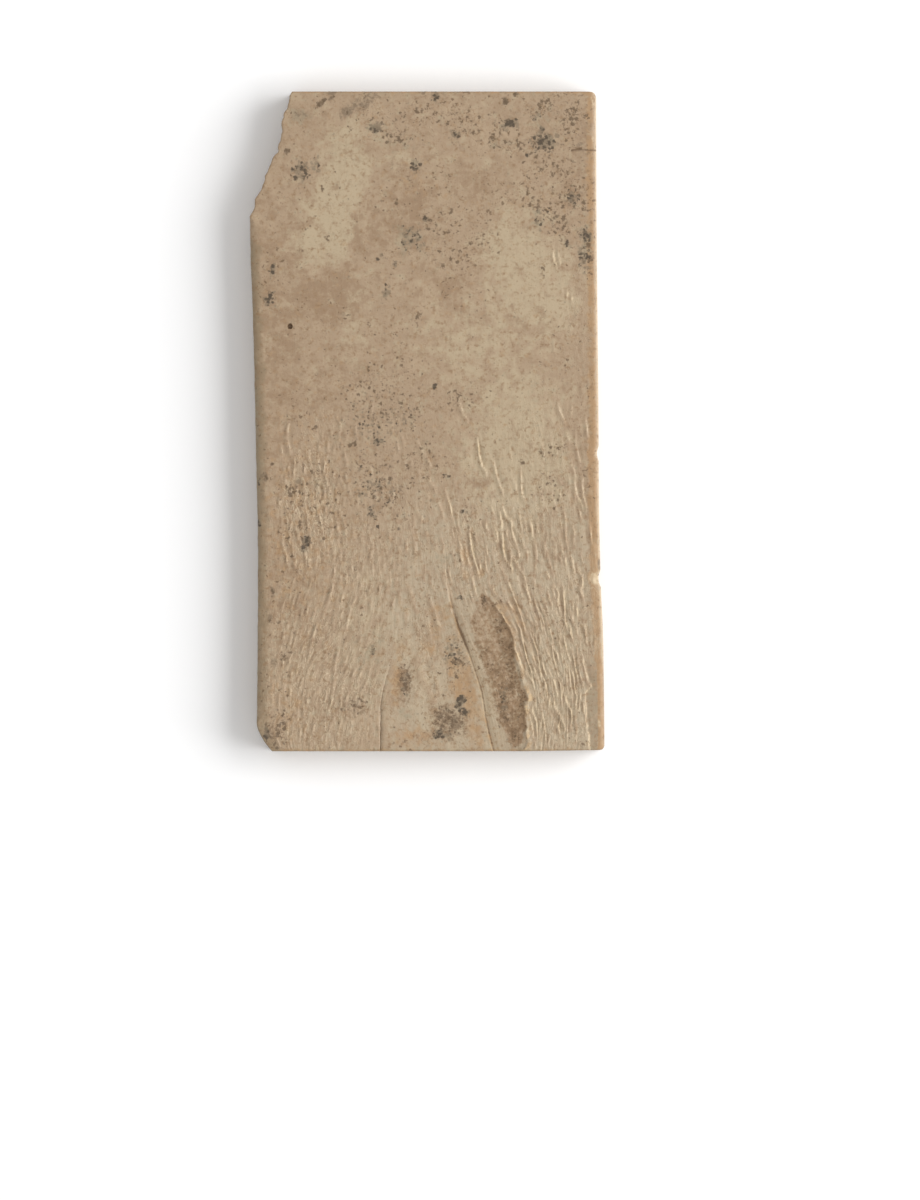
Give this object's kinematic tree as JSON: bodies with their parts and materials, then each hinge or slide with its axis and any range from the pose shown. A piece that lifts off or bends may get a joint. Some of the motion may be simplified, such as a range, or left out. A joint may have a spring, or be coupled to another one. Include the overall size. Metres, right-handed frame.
{
  "type": "writing tablet",
  "caption": "Thin oblong ivory leaf of a writing tablet, lying flat, with a broken upper corner, a chipped lower corner and a flaked, grooved lower end.",
  "frame": {"origin": "middle of the leaf's box, on the surface that it lies on, which is its flat underside", "axes": "+X right across the leaf, +Y up its length towards the end with the broken corner, +Z out of the upper face"},
  "size_m": [0.0447, 0.0832, 0.006],
  "materials": {
    "aged_ivory": null
  },
  "bodies": {
    "root": {"tablet": "aged_ivory"}
  },
  "joints": []
}
